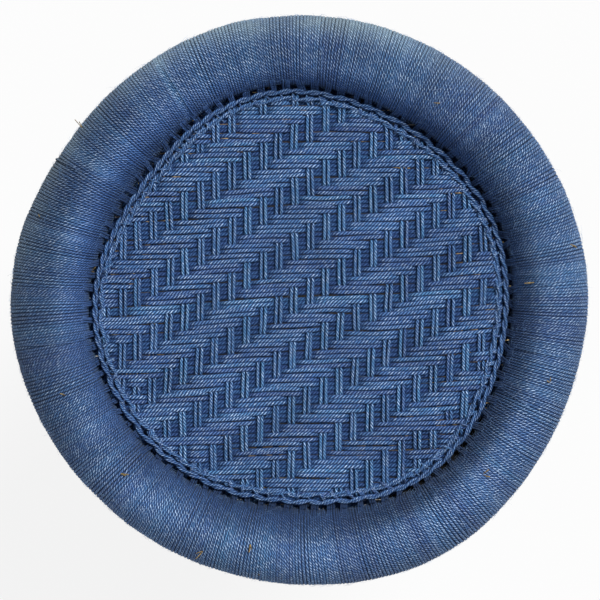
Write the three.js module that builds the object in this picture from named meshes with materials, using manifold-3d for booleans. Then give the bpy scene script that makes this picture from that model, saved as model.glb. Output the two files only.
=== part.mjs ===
// Mudda stool: a woven seat in a cord-wound rim, on an hourglass of crossed reeds and a wound base ring.
// Lengths are in millimetres, +Z is up, and the origin is the middle of the foot, on the floor.
import * as THREE from 'three';
import { mergeVertices } from 'three/addons/utils/BufferGeometryUtils.js';
import Module from 'manifold-3d';

const wasm = await Module();
wasm.setup();

// Overall sizes. The ring diameters are those of the circles that the reeds end on.
const overallHeight = 420;
const rimRingDiameter = 344.2;
const baseRingDiameter = 316;
const waistDiameter = 248;

// Fits: the gap between pieces that touch, how far a cutting shape runs past what it cuts,
// and how far apart two corners of a joined mesh may be and still be one
const gap = 0.3;
const overrun = 20;
const meshTolerance = 0.01;

// Reeds, in two layers that lean opposite ways
const reedsPerLayer = 19;
const reedDiameter = 11;
const reedNodeHeight = 0.5;
const reedSides = 6;
const outerNodeShare = 0.31;
const innerNodeShare = 0.64;

// Split-cane hoops that clamp the reed ends
const hoopWidth = 5;
const hoopHeight = 10;

// Rim: padding round the hoops, and its winding
const rimHeight = 56;
const rimSidePadding = 1;
const rimWindingThickness = 2.4;

// Base ring: core round the hoops, its winding and the rubber tread
const baseHeight = 46;
const baseSidePadding = 1;
const baseWindingThickness = 3;
const treadThickness = 5;
const treadRise = 14;

// Woven seat: each ribbon is one pair of strings
const seatBelowRimTop = 24;
const warpWidth = 5.4;
const warpThickness = 1.4;
const warpPitch = 10.9;
const weftWidth = 4;
const weftThickness = 1.6;
const weftPitch = 6.33;
const twillFloat = 3;
const twillShift = 4;
const selvedgeWidth = 5;
const edgeCordHeight = 4.4;

// Rope lashings round the crossed reeds
const ropeDiameter = 5;
const ropePitch = 5.9;
const waistTurns = 3;
const sideTurns = 2;
const ropeSides = 5;
const stepsPerTurn = 24;

// Facets round every ring, and points round the oval sections
const ringFacets = 36;
const rimPoints = { winding: 12, core: 8 };
const basePoints = { winding: 12, core: 8 };

// Sizes and places that follow from those above
const reedRadius = reedDiameter / 2;
const layerOffset = reedRadius + gap / 2;
const latticeHalf = 2 * reedRadius + gap / 2;
const facetShare = Math.cos(Math.PI / ringFacets);
const rimMiddleHeight = overallHeight - rimHeight / 2;
const baseMiddleHeight = treadThickness + gap + baseHeight / 2;

const rimMiddleRadius = rimRingDiameter / 2;
const baseMiddleRadius = baseRingDiameter / 2;

const material = {
  blueCord: new THREE.MeshStandardMaterial({ color: 0x4a6b99, roughness: 0.9, metalness: 0 }),
  straw: new THREE.MeshStandardMaterial({ color: 0xb9975a, roughness: 0.95, metalness: 0 }),
  reed: new THREE.MeshStandardMaterial({ color: 0xc39a5c, roughness: 0.6, metalness: 0 }),
  cane: new THREE.MeshStandardMaterial({ color: 0xa9824a, roughness: 0.7, metalness: 0 }),
  rope: new THREE.MeshStandardMaterial({ color: 0xb59c6d, roughness: 0.95, metalness: 0 }),
  rubber: new THREE.MeshStandardMaterial({ color: 0x1d1d1f, roughness: 0.85, metalness: 0 }),
};

const stool = new THREE.Group();

function add(name, geometry, finish) {
  const mesh = new THREE.Mesh(geometry, finish);
  mesh.name = name;
  stool.add(mesh);
  return mesh;
}

// The hourglass: the middle surface of the lattice is a hyperboloid through both rings and the waist.
// The reeds are straight lines on it, so its radius at a height follows from how far they have leant.
const waistRadius = waistDiameter / 2;
const reedTopHeight = rimMiddleHeight + hoopHeight / 2 - reedRadius / 2;
const reedFootHeight = baseMiddleHeight - hoopHeight / 2 + reedRadius / 2;

function lattice(waist, top, foot) {
  const leanAtTop = Math.sqrt(top * top - waist * waist);
  const leanAtFoot = Math.sqrt(foot * foot - waist * waist);
  const lean = (leanAtTop + leanAtFoot) / (reedTopHeight - reedFootHeight);
  const waistHeight = reedFootHeight + leanAtFoot / lean;
  return { waist, lean, waistHeight };
}

const middle = lattice(waistRadius, rimMiddleRadius, baseMiddleRadius);

function latticeRadius(height) {
  return Math.hypot(middle.waist, middle.lean * (height - middle.waistHeight));
}

function slope(height) {
  return middle.lean * middle.lean * (height - middle.waistHeight) / latticeRadius(height);
}

// One over the cosine of the surface's slope, which widens a thickness that is cut level
function slant(height) {
  return Math.hypot(1, slope(height));
}

function latticeEdge(height, side, extra = 0) {
  return latticeRadius(height) + side * (latticeHalf * slant(height) + extra);
}

// A faceted ring comes closest to what it encloses in the middle of a facet, so outside rings are widened
function ringEdge(height, side, extra) {
  const edge = latticeEdge(height, side, extra);
  return side > 0 ? edge / facetShare : edge;
}

// Half the width of a padded ring: the slanted lattice, the hoops, the padding beside them and the winding.
// The hoops and reed ends take a pocket in the core, and the core's oval is narrower at the pocket's ends.
const pocketHalf = hoopHeight / 2 + reedRadius / 2 + gap;

function ringHalfWidth(middleHeight, height, sidePadding, windingThickness, corePoints) {
  const coreHalfHeight = height / 2 - windingThickness - gap;
  const narrowed = 1 - pocketHalf / coreHalfHeight * Math.tan(Math.PI / corePoints);
  const leant = pocketHalf * Math.abs(slope(middleHeight));
  const held = latticeHalf * slant(middleHeight) + leant + hoopWidth + 2 * gap + sidePadding;
  return held / narrowed + gap + windingThickness;
}

const rimHalfWidth = ringHalfWidth(
  rimMiddleHeight, rimHeight, rimSidePadding, rimWindingThickness, rimPoints.core);
const baseHalfWidth = ringHalfWidth(
  baseMiddleHeight, baseHeight, baseSidePadding, baseWindingThickness, basePoints.core);
const rimInnerRadius = rimMiddleRadius - rimHalfWidth;

// Rings: a closed section of points (radius, height) turned round Z
function ring(section) {
  const points = THREE.ShapeUtils.isClockWise(section) ? section.slice().reverse() : section.slice();
  points.push(points[0].clone());
  return new THREE.LatheGeometry(points, ringFacets).rotateX(Math.PI / 2);
}

function oval(radius, height, halfWidth, halfHeight, count) {
  const points = [];
  for (let i = 0; i < count; i++) {
    const turn = 2 * Math.PI * i / count;
    points.push(new THREE.Vector2(radius + halfWidth * Math.sin(turn), height - halfHeight * Math.cos(turn)));
  }
  return points;
}

// Joins and cuts on closed meshes
function solid(geometry) {
  const bare = geometry.clone();
  bare.deleteAttribute('normal');
  bare.deleteAttribute('uv');
  const merged = mergeVertices(bare, meshTolerance / 100);
  return new wasm.Manifold(new wasm.Mesh({
    numProp: 3,
    vertProperties: new Float32Array(merged.attributes.position.array),
    triVerts: new Uint32Array(merged.index.array),
  }));
}

function geometryOf(manifold) {
  const mesh = manifold.simplify(meshTolerance).getMesh();
  const geometry = new THREE.BufferGeometry();
  geometry.setAttribute('position', new THREE.BufferAttribute(new Float32Array(mesh.vertProperties), 3));
  geometry.setIndex(new THREE.BufferAttribute(new Uint32Array(mesh.triVerts), 1));
  geometry.computeVertexNormals();
  return geometry;
}

// The way that the reeds and hoops take into a padded ring. up is 1 at the rim and -1 at the base.
function reedChannel(up) {
  const middleHeight = up > 0 ? rimMiddleHeight : baseMiddleHeight;
  const mouth = middleHeight - up * (rimHeight / 2 + overrun);
  const hoopMouth = middleHeight - up * (hoopHeight / 2 + gap);
  const end = middleHeight + up * pocketHalf;
  const edges = (height, side, extra) => new THREE.Vector2(ringEdge(height, side, extra), height);
  const besideReeds = 2 * gap;
  const besideHoops = hoopWidth + 2 * gap;
  return ring([
    edges(mouth, -1, besideReeds),
    edges(hoopMouth, -1, besideReeds),
    edges(hoopMouth, -1, besideHoops),
    edges(end, -1, besideHoops),
    edges(end, 1, besideHoops),
    edges(hoopMouth, 1, besideHoops),
    edges(hoopMouth, 1, besideReeds),
    edges(mouth, 1, besideReeds),
  ]);
}

function paddedRing(radius, height, halfWidth, halfHeight, thickness, channel, points) {
  const shape = (inset, count) =>
    solid(ring(oval(radius, height, halfWidth - inset, halfHeight - inset, count)));
  const outside = shape(0, points.winding);
  const inside = shape(thickness, points.core);
  const core = shape(thickness + gap, points.core);
  const cut = solid(channel);
  return { winding: outside.subtract(inside).subtract(cut), core: core.subtract(cut) };
}

const rim = paddedRing(
  rimMiddleRadius, rimMiddleHeight, rimHalfWidth, rimHeight / 2, rimWindingThickness, reedChannel(1), rimPoints);
add('rim_winding', geometryOf(rim.winding), material.blueCord);
add('rim_padding', geometryOf(rim.core), material.straw);

const base = paddedRing(
  baseMiddleRadius, baseMiddleHeight, baseHalfWidth, baseHeight / 2, baseWindingThickness, reedChannel(-1),
  basePoints);
add('base_winding', geometryOf(base.winding), material.rope);
add('base_core', geometryOf(base.core), material.straw);

// Rubber tread: a flat-bottomed trough that the base ring sits in
function tread() {
  const wall = treadThickness / 2;
  const count = basePoints.winding;
  const seated = oval(baseMiddleRadius, baseMiddleHeight, baseHalfWidth + gap, baseHeight / 2 + gap, count);
  const inner = seated.filter((point) => point.y < treadThickness + treadRise);
  const left = inner.reduce((a, b) => (b.x < a.x ? b : a));
  const right = inner.reduce((a, b) => (b.x > a.x ? b : a));
  const shallow = inner.slice().sort((a, b) => b.x - a.x);
  return ring([
    new THREE.Vector2(left.x + wall, 0),
    new THREE.Vector2(right.x - wall, 0),
    new THREE.Vector2(right.x + wall, wall),
    new THREE.Vector2(right.x + wall, right.y),
    ...shallow,
    new THREE.Vector2(left.x - wall, left.y),
    new THREE.Vector2(left.x - wall, wall),
  ]);
}
add('base_tread', tread(), material.rubber);

// Hoops: slanted strips that lie along the lattice, inside and outside the reeds
function hoop(height, side) {
  const low = height - hoopHeight / 2;
  const high = height + hoopHeight / 2;
  const corner = (at, extra) => new THREE.Vector2(ringEdge(at, side, extra), at);
  return ring([corner(low, gap), corner(low, gap + hoopWidth), corner(high, gap + hoopWidth), corner(high, gap)]);
}
add('top_inner_hoop', hoop(rimMiddleHeight, -1), material.cane);
add('top_outer_hoop', hoop(rimMiddleHeight, 1), material.cane);
add('base_inner_hoop', hoop(baseMiddleHeight, -1), material.cane);
add('base_outer_hoop', hoop(baseMiddleHeight, 1), material.cane);

// Reeds: a cane swells a little at its node, which lies between the crossings
function reedGeometry(length, nodeShare) {
  const slim = reedRadius - reedNodeHeight;
  return new THREE.LatheGeometry([
    new THREE.Vector2(0, 0),
    new THREE.Vector2(reedRadius, 0),
    new THREE.Vector2(slim, length * nodeShare - reedNodeHeight),
    new THREE.Vector2(reedRadius, length * nodeShare + reedNodeHeight),
    new THREE.Vector2(slim, length),
    new THREE.Vector2(0, length),
  ], reedSides);
}

function reedLayer(name, side, nodeShare) {
  const top = rimMiddleRadius + side * layerOffset * slant(reedTopHeight);
  const foot = baseMiddleRadius + side * layerOffset * slant(reedFootHeight);
  const layer = lattice(waistRadius + side * layerOffset, top, foot);
  const lean = (height) => side * layer.lean * (height - layer.waistHeight);
  const start = new THREE.Vector3(layer.waist, lean(reedFootHeight), reedFootHeight);
  const end = new THREE.Vector3(layer.waist, lean(reedTopHeight), reedTopHeight);
  const direction = end.clone().sub(start);
  const geometry = reedGeometry(direction.length(), nodeShare);
  for (let i = 0; i < reedsPerLayer; i++) {
    const turned = new THREE.Group();
    turned.rotation.z = 2 * Math.PI * i / reedsPerLayer;
    const mesh = new THREE.Mesh(geometry, material.reed);
    mesh.name = `${name}_${String(i + 1).padStart(2, '0')}`;
    mesh.position.copy(start);
    mesh.quaternion.setFromUnitVectors(new THREE.Vector3(0, 1, 0), direction.clone().normalize());
    turned.add(mesh);
    stool.add(turned);
  }
}
reedLayer('outer_reed', 1, outerNodeShare);
reedLayer('inner_reed', -1, innerNodeShare);

// Rope lashings: one unbroken tube that winds round the outside of the lattice
const ropeRadius = ropeDiameter / 2;

function lashingPath(height, turns) {
  const chordShare = Math.cos(Math.PI / stepsPerTurn);
  const points = [];
  for (let i = 0; i <= turns * stepsPerTurn; i++) {
    const turn = 2 * Math.PI * i / stepsPerTurn;
    const z = height + ropePitch * (i / stepsPerTurn - turns / 2);
    const radius = latticeEdge(z, 1, ropeRadius * slant(z) + gap) / chordShare;
    points.push(new THREE.Vector3(radius * Math.cos(turn), radius * Math.sin(turn), z));
  }
  return points;
}

function tube(points, radius, sides) {
  const positions = [];
  const index = [];
  const up = new THREE.Vector3(0, 0, 1);
  points.forEach((point, i) => {
    const before = points[Math.max(i - 1, 0)];
    const after = points[Math.min(i + 1, points.length - 1)];
    const along = after.clone().sub(before).normalize();
    const out = along.clone().cross(up).normalize();
    const rise = out.clone().cross(along);
    for (let j = 0; j < sides; j++) {
      const turn = 2 * Math.PI * (j + 0.5) / sides;
      const corner = point.clone()
        .addScaledVector(out, radius * Math.cos(turn))
        .addScaledVector(rise, radius * Math.sin(turn));
      positions.push(corner.x, corner.y, corner.z);
    }
  });
  for (let i = 0; i < points.length - 1; i++) {
    for (let j = 0; j < sides; j++) {
      const a = i * sides + j;
      const b = i * sides + (j + 1) % sides;
      index.push(a, a + sides, b, b, a + sides, b + sides);
    }
  }
  const last = (points.length - 1) * sides;
  for (let j = 1; j < sides - 1; j++) {
    index.push(0, j, j + 1);
    index.push(last, last + j + 1, last + j);
  }
  return meshOf(positions, index);
}

// A mesh from its corners and triangles, with its faces pointing out
function meshOf(positions, index) {
  const geometry = new THREE.BufferGeometry();
  geometry.setAttribute('position', new THREE.Float32BufferAttribute(positions, 3));
  const at = (i) => new THREE.Vector3().fromArray(positions, 3 * i);
  let volume = 0;
  for (let i = 0; i < index.length; i += 3) {
    volume += at(index[i]).dot(at(index[i + 1]).cross(at(index[i + 2])));
  }
  geometry.setIndex(volume > 0 ? index : index.slice().reverse());
  geometry.computeVertexNormals();
  return geometry;
}

// Least gap of a winding to itself, from each point to the turns above it
function leastSelfGap(points) {
  let least = Infinity;
  for (let i = 0; i < points.length; i++) {
    for (let j = i + stepsPerTurn / 2; j < points.length; j++) {
      least = Math.min(least, points[i].distanceTo(points[j]) - ropeDiameter);
    }
  }
  return least;
}

// One lashing is at the waist, and one on each side of it, this share of the way to the ring
const sideLashingShare = 0.55;
const rimUnderside = rimMiddleHeight - rimHeight / 2;
const baseTopside = baseMiddleHeight + baseHeight / 2;

for (const [name, end, turns] of [
  ['lower_lashing', baseTopside, sideTurns],
  ['waist_lashing', middle.waistHeight, waistTurns],
  ['upper_lashing', rimUnderside, sideTurns],
]) {
  const height = middle.waistHeight + sideLashingShare * (end - middle.waistHeight);
  const path = lashingPath(height, turns);
  add(name, tube(path, ropeRadius, ropeSides), material.rope);
  console.log(`${name}: least gap to itself ${leastSelfGap(path).toFixed(2)} mm`);
}

// Woven seat: the crosswise ribbons lie level, and the lengthwise ribbons pass over and under them
const seatTopHeight = overallHeight - seatBelowRimTop;
const weaveMiddle = seatTopHeight - warpThickness - gap - weftThickness / 2;
const warpLevel = weftThickness / 2 + gap + warpThickness / 2;
const seatRadius = rimInnerRadius * facetShare - gap;
const weaveRadius = seatRadius - selvedgeWidth;
const ribbonRadius = seatRadius - selvedgeWidth / 2;

// A ribbon along a path of right-angled corners. side is the way its width points at the start.
function ribbon(path, side, width, thickness) {
  const positions = [];
  const index = [];
  const ways = path.slice(1).map((point, i) => point.clone().sub(path[i]).normalize());
  const sides = [side.clone()];
  const ups = [side.clone().cross(ways[0])];
  for (let i = 1; i < ways.length; i++) {
    const level = Math.abs(ways[i].dot(sides[i - 1])) < 0.5;
    sides.push(level ? sides[i - 1].clone() : ways[i].clone().cross(ups[i - 1]));
    ups.push(level ? sides[i].clone().cross(ways[i]) : ups[i - 1].clone());
  }
  const mitre = (a, b) => a.clone().add(b).divideScalar(1 + a.dot(b));
  path.forEach((point, i) => {
    const a = Math.max(i - 1, 0);
    const b = Math.min(i, ways.length - 1);
    const across = mitre(sides[a], sides[b]).multiplyScalar(width / 2);
    const over = mitre(ups[a], ups[b]).multiplyScalar(thickness / 2);
    for (const [u, v] of [[1, 1], [-1, 1], [-1, -1], [1, -1]]) {
      const corner = point.clone().addScaledVector(across, u).addScaledVector(over, v);
      positions.push(corner.x, corner.y, corner.z);
    }
  });
  for (let i = 0; i < path.length - 1; i++) {
    for (let j = 0; j < 4; j++) {
      const a = 4 * i + j;
      const b = 4 * i + (j + 1) % 4;
      index.push(a, a + 4, b, b, a + 4, b + 4);
    }
  }
  const last = 4 * (path.length - 1);
  index.push(0, 1, 2, 0, 2, 3, last, last + 2, last + 1, last, last + 3, last + 2);
  return meshOf(positions, index);
}

// The places of the ribbons on one side of the weave, evenly about its middle
function places(pitch, width) {
  const count = Math.floor((2 * ribbonRadius - width) / pitch) + 1;
  return Array.from({ length: count }, (_, i) => (i - (count - 1) / 2) * pitch);
}

const columns = places(warpPitch, warpWidth);
const rows = places(weftPitch, weftWidth);

// How far a ribbon at this place reaches before its corner meets the middle of the selvedge
function ribbonReach(place, width) {
  return Math.sqrt(ribbonRadius ** 2 - (Math.abs(place) + width / 2) ** 2);
}

function selvedge(middleHeight, thickness) {
  return ring([
    new THREE.Vector2(weaveRadius, middleHeight - thickness / 2),
    new THREE.Vector2(seatRadius, middleHeight - thickness / 2),
    new THREE.Vector2(seatRadius, middleHeight + thickness / 2),
    new THREE.Vector2(weaveRadius, middleHeight + thickness / 2),
  ]);
}

function joined(geometries) {
  return geometryOf(wasm.Manifold.union(geometries.map(solid)));
}

function weftRibbon(y) {
  const reach = ribbonReach(y, weftWidth);
  const path = [new THREE.Vector3(-reach, y, weaveMiddle), new THREE.Vector3(reach, y, weaveMiddle)];
  return ribbon(path, new THREE.Vector3(0, -1, 0), weftWidth, weftThickness);
}

// Twill: each column floats over three rows and under three, one row higher than the column before
function isOver(column, row) {
  const period = 2 * twillFloat;
  return (((row - column + twillShift) % period) + period) % period < twillFloat;
}

function warpRibbon(column) {
  const x = columns[column];
  const reach = ribbonReach(x, warpWidth);
  const insideWeave = (y) =>
    Math.hypot(Math.abs(x) + warpWidth / 2, Math.abs(y) + warpThickness / 2) < weaveRadius * facetShare - gap;
  const at = (y, level) => new THREE.Vector3(x, y, weaveMiddle + level * warpLevel);
  const path = [at(-reach, -1)];
  let level = -1;
  for (let row = 0; row < rows.length; row++) {
    const before = rows[row] - weftPitch / 2;
    const free = insideWeave(before) && insideWeave(rows[row] + weftPitch / 2);
    const next = free && isOver(column, row) ? 1 : -1;
    if (next !== level) {
      path.push(at(before, level), at(before, next));
      level = next;
    }
  }
  path.push(at(reach, -1));
  return ribbon(path, new THREE.Vector3(1, 0, 0), warpWidth, warpThickness);
}

add('seat_weft', joined([selvedge(weaveMiddle, weftThickness), ...rows.map(weftRibbon)]), material.blueCord);
add('seat_warp', joined([
  selvedge(weaveMiddle - warpLevel, warpThickness),
  ...columns.map((_, column) => warpRibbon(column)),
]), material.blueCord);

// Edge cords: a flat pair of cords on the margin of the seat, against the rim
function edgeCords() {
  const low = weaveMiddle + weftThickness / 2 + gap;
  const lobe = selvedgeWidth / 4;
  const lobes = [1, 3].map((share) => weaveRadius + share * lobe);
  return ring([
    new THREE.Vector2(weaveRadius, low),
    new THREE.Vector2(seatRadius, low),
    new THREE.Vector2(seatRadius, low + edgeCordHeight / 2),
    new THREE.Vector2(lobes[1], low + edgeCordHeight),
    new THREE.Vector2((lobes[0] + lobes[1]) / 2, low + edgeCordHeight * 2 / 3),
    new THREE.Vector2(lobes[0], low + edgeCordHeight),
    new THREE.Vector2(weaveRadius, low + edgeCordHeight / 2),
  ]);
}
add('seat_edge_cords', edgeCords(), material.blueCord);

export default stool;
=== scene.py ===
"""The looks of a mudda stool: blue cord rim, twill-woven seat, crossed cane reeds and a roped base ring."""

import math

import bpy
import numpy as np
from bpy.props import FloatProperty, FloatVectorProperty, IntProperty, PointerProperty
from mathutils import Matrix, Vector


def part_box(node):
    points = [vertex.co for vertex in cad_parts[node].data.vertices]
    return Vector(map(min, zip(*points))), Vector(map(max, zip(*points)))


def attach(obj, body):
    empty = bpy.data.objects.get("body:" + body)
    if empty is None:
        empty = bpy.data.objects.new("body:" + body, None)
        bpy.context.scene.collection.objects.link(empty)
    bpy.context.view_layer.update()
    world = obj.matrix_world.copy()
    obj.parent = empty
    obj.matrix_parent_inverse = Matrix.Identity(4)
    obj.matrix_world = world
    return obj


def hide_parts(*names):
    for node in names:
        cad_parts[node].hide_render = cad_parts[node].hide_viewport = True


bl_info = {
    "name": "Mudda stool",
    "version": (1, 0, 0),
    "blender": (4, 5, 0),
    "location": "View3D > Sidebar > Stool",
    "description": "Builds a woven mudda stool round its packed frame",
    "category": "Object",
}

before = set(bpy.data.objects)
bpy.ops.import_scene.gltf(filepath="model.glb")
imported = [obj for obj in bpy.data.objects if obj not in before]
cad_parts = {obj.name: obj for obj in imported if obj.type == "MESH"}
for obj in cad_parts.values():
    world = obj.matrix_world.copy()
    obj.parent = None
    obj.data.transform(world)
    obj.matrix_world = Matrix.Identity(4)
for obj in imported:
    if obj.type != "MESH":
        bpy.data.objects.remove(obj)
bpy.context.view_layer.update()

MM = 0.001
TAU = 2 * math.pi
UP = np.array([0.0, 0.0, 1.0])

# Places that come from the frame, in metres
RIM_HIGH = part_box("rim_winding")[1]
RIM_RADIUS = RIM_HIGH.x
SEAT_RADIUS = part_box("seat_warp")[1].x
WEFT_LOW, WEFT_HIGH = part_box("seat_weft")
WEAVE_HEIGHT = (WEFT_LOW.z + WEFT_HIGH.z) / 2

# The photograph's frame: pixels across, the middle of the stool in it, and the real size of a pixel
PHOTO_PIXELS = 600
PHOTO_MIDDLE = (297.5, 299.5)
PIXEL = 0.6965 * MM

# Hand-made lumps, measured every 30 degrees from the right, counterclockwise, in millimetres
OUTLINE_LUMPS = (1.3, -0.5, -1.5, -2.2, -4.0, -5.0, 0.9, -1.9, -3.3, -1.2, 4.0, 0.6)
SEAT_LUMPS = (0.9, 0.2, -2.6, 1.6, -1.4, -5.4, 3.0, 5.5, 4.7, 2.1, 8.7, 5.1)

# The seat's own middle lies a little off the stool's axis
SEAT_MIDDLE = np.array([2.6, 2.2, 0.0]) * MM
RIM_CLEARANCE = 2.2 * MM

# Length of one twist of the rim's cord
RIM_LAY = 10.4 * MM


def length_property(name, description, default):
    return FloatProperty(name=name, description=description, default=default, subtype="DISTANCE")


def count_property(name, description, default, least):
    return IntProperty(name=name, description=description, default=default, min=least)


def colour_property(name, description, default):
    return FloatVectorProperty(
        name=name, description=description, default=default, subtype="COLOR", size=3, min=0, max=1)


class StoolSizes(bpy.types.PropertyGroup):
    """Sizes that a user would change."""

    rim_half_height: length_property("Rim half height", "Half the height of the rim's section", 28 * MM)
    rim_turns: count_property("Rim turns", "Turns of cord round the rim", 552, 100)
    rim_cord: length_property("Rim cord", "Thickness of the rim's cord", 2.2 * MM)
    warp_string: length_property("Lengthwise string", "Thickness of a lengthwise seat string", 2.7 * MM)
    weft_string: length_property("Crosswise string", "Thickness of a crosswise seat string", 3.15 * MM)
    warp_pitch: length_property("Lengthwise pitch", "Distance between lengthwise pairs", 10.9 * MM)
    weft_pitch: length_property("Crosswise pitch", "Distance between crosswise pairs", 6.33 * MM)
    edge_cord: length_property("Edge cord", "Thickness of the cords round the seat's margin", 2.35 * MM)
    reed: length_property("Reed", "Thickness of a cane reed", 11 * MM)
    rope: length_property("Rope", "Thickness of the lashing rope", 5 * MM)
    base_turns: count_property("Base turns", "Turns of rope round the base ring", 236, 50)


class StoolColours(bpy.types.PropertyGroup):
    """Colours that a user would change."""

    blue: colour_property("Blue string", "Lit colour of the seat's dyed string", (0.108, 0.24, 0.53))
    rim_blue: colour_property("Blue rim cord", "Lit colour of the rim's dyed cord", (0.129, 0.266, 0.565))
    # The deep blue is a painted shade: the colour of the grooves between plies and of the strings' lower
    # sides
    blue_deep: colour_property("Deep blue", "Colour in the grooves of the cord", (0.006, 0.024, 0.1))
    # The pale blue is partly worn fibre and partly a painted highlight on the upper ply crowns
    blue_pale: colour_property("Pale blue", "Colour of the worn fibres", (0.48, 0.61, 0.8))
    # The pale cord colour is partly sun-bleaching and partly a painted sheen on one side of the rim
    faded: colour_property("Faded cord", "Colour of the sun-bleached side of the rim", (0.55, 0.73, 0.79))
    cane: colour_property("Cane", "Colour of the reeds", (0.50, 0.33, 0.14))
    straw: colour_property("Straw", "Colour of the straw padding", (0.46, 0.33, 0.13))
    rope: colour_property("Rope", "Colour of the grass rope", (0.40, 0.29, 0.14))
    rubber: colour_property("Rubber", "Colour of the tread", (0.018, 0.018, 0.02))


def sizes():
    return bpy.context.scene.stool_sizes


def colours():
    return bpy.context.scene.stool_colours


# Nodes, effects and materials

class Nodes:
    """Short ways to add and link nodes in one tree."""

    def __init__(self, tree):
        self.tree = tree

    def add(self, kind, values=None, **settings):
        node = self.tree.nodes.new(kind)
        for key, value in settings.items():
            setattr(node, key, value)
        for key, value in (values or {}).items():
            self.put(node.inputs[key], value)
        return node

    def put(self, socket, value):
        if isinstance(value, bpy.types.NodeSocket):
            self.tree.links.new(value, socket)
        elif socket.type == "RGBA":
            socket.default_value = (*value, 1.0)
        else:
            socket.default_value = value

    def math(self, operation, *values):
        return self.add("ShaderNodeMath", dict(enumerate(values)), operation=operation).outputs[0]

    def plus(self, a, b):
        return self.math("ADD", a, b)

    def minus(self, a, b):
        return self.math("SUBTRACT", a, b)

    def times(self, value, *others):
        for other in others:
            value = self.math("MULTIPLY", value, other)
        return value

    def scaled(self, value, factor, start):
        """The value times factor, counted from start."""
        return self.math("MULTIPLY_ADD", value, factor, start)

    def weakened(self, value, depth):
        """1 where value is 1, and 1 less depth where value is 0."""
        return self.minus(1.0, self.times(self.minus(1.0, value), depth))

    def vector(self, operation, *values):
        return self.add("ShaderNodeVectorMath", dict(enumerate(values)), operation=operation).outputs

    def round_axis(self, place):
        """A place's distance from the stool's axis, and the level way from the axis to it."""
        flat = self.vector("MULTIPLY", place, (1.0, 1.0, 0.0))[0]
        return self.vector("LENGTH", flat)["Value"], self.vector("NORMALIZE", flat)[0]

    def mix(self, factor, a, b, blend_type="MIX"):
        node = self.add("ShaderNodeMix", {"Factor": factor, "A": a, "B": b},
                        data_type="RGBA", blend_type=blend_type)
        return node.outputs["Result"]

    def darkened(self, colour, light):
        """The colour as a share of the light shows it."""
        grey = self.add("ShaderNodeCombineColor", {0: light, 1: light, 2: light}).outputs[0]
        return self.mix(1.0, colour, grey, "MULTIPLY")

    def noise(self, vector, scale, detail, roughness=0.55):
        node = self.add("ShaderNodeTexNoise", {
            "Vector": vector, "Scale": scale, "Detail": detail, "Roughness": roughness})
        return node.outputs["Fac"]

    def stretched(self, vector, scale):
        return self.add("ShaderNodeMapping", {"Vector": vector, "Scale": scale}).outputs[0]

    def ramp(self, value, low, high):
        """0 below low and 1 above high, with a soft change between them."""
        return self.add("ShaderNodeMapRange", {"Value": value, "From Min": low, "From Max": high},
                        interpolation_type="SMOOTHSTEP").outputs["Result"]

    def attribute(self, name):
        return self.add("ShaderNodeAttribute", attribute_name=name).outputs["Fac"]

    def effect(self, name, make, **values):
        """The outputs of a shared effect, which is made the first time that it is used."""
        tree = bpy.data.node_groups.get(name) or make(name)
        return self.add("ShaderNodeGroup", values, node_tree=tree).outputs

    def inside_light(self, depth):
        return self.effect("Inside shade", inside_shade, Depth=depth)["Light"]


class Effect(Nodes):
    """A node group that materials share. Its inputs are given by name, with their defaults."""

    def __init__(self, name, **inputs):
        super().__init__(bpy.data.node_groups.new(name, "ShaderNodeTree"))
        for label, default in inputs.items():
            kind = "NodeSocketVector" if isinstance(default, tuple) else "NodeSocketFloat"
            socket = self.tree.interface.new_socket(label, in_out="INPUT", socket_type=kind)
            socket.default_value = default
        self.given = self.add("NodeGroupInput").outputs

    def give(self, **results):
        """Names the outputs and ends the group."""
        for label in results:
            self.tree.interface.new_socket(label, in_out="OUTPUT", socket_type="NodeSocketFloat")
        self.add("NodeGroupOutput", results)
        return self.tree


class Finish(Nodes):
    """A material with its main shader, and the nodes that feed it."""

    def __init__(self, name):
        self.material = bpy.data.materials.new(name)
        self.material.use_nodes = True
        self.material.node_tree.nodes.clear()
        super().__init__(self.material.node_tree)
        self.shader = self.add("ShaderNodeBsdfPrincipled")
        self.out = self.add("ShaderNodeOutputMaterial", {"Surface": self.shader.outputs[0]})
        self.place = self.add("ShaderNodeTexCoord").outputs["Object"]

    def surface(self, colour, roughness, height, bump, depth):
        """Feeds the shader. height is a mask of the bumps, which are as deep as depth."""
        bumped = self.add("ShaderNodeBump", {"Height": height, "Strength": bump, "Distance": depth})
        self.put(self.shader.inputs["Base Color"], colour)
        self.put(self.shader.inputs["Roughness"], roughness)
        self.put(self.shader.inputs["Normal"], bumped.outputs[0])
        return self.material


# Noises of the materials: lumps a metre, detail and roughness
FADE_NOISE = (28.0, 4.0)
FIBRE_NOISE = (1400.0, 2.0, 0.6)
CORD_BLOTCH_NOISE = (26.0, 4.0, 0.6)
WORN_NOISE = (330.0, 2.0)
CANE_BLOTCH_NOISE = (18.0, 4.0)
CANE_SPECK_NOISE = (420.0, 2.0)
STRAW_STREAK_NOISE = (240.0, 4.0, 0.7)
STRAW_BLOTCH_NOISE = (40.0, 3.0)
RUBBER_DUST_NOISE = (45.0, 5.0, 0.65)
RUBBER_GRAIN_NOISE = (900.0, 3.0)

# Strands and cane grain are drawn on the pieces' own maps. The grain and the straw's streaks are stretched
STRAND_NOISE = (2.2, 3.0, 0.5)
CANE_STRETCH = (60.0, 3.0, 1.0)
CANE_GRAIN_NOISE = (1.6, 5.0, 0.65)
STRAW_STRETCH = (1.0, 1.0, 6.0)

# Shares of red, green and blue by which the dye and the shade change a cord's colour
GREENISH_SHARES = (0.95, 1.12, 0.92)
VIOLET_SHARES = (1.1, 0.94, 1.06)
SHELTERED_SHARES = (0.5, 0.62, 0.85)

DUST_COLOUR = (0.16, 0.14, 0.12)

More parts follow.
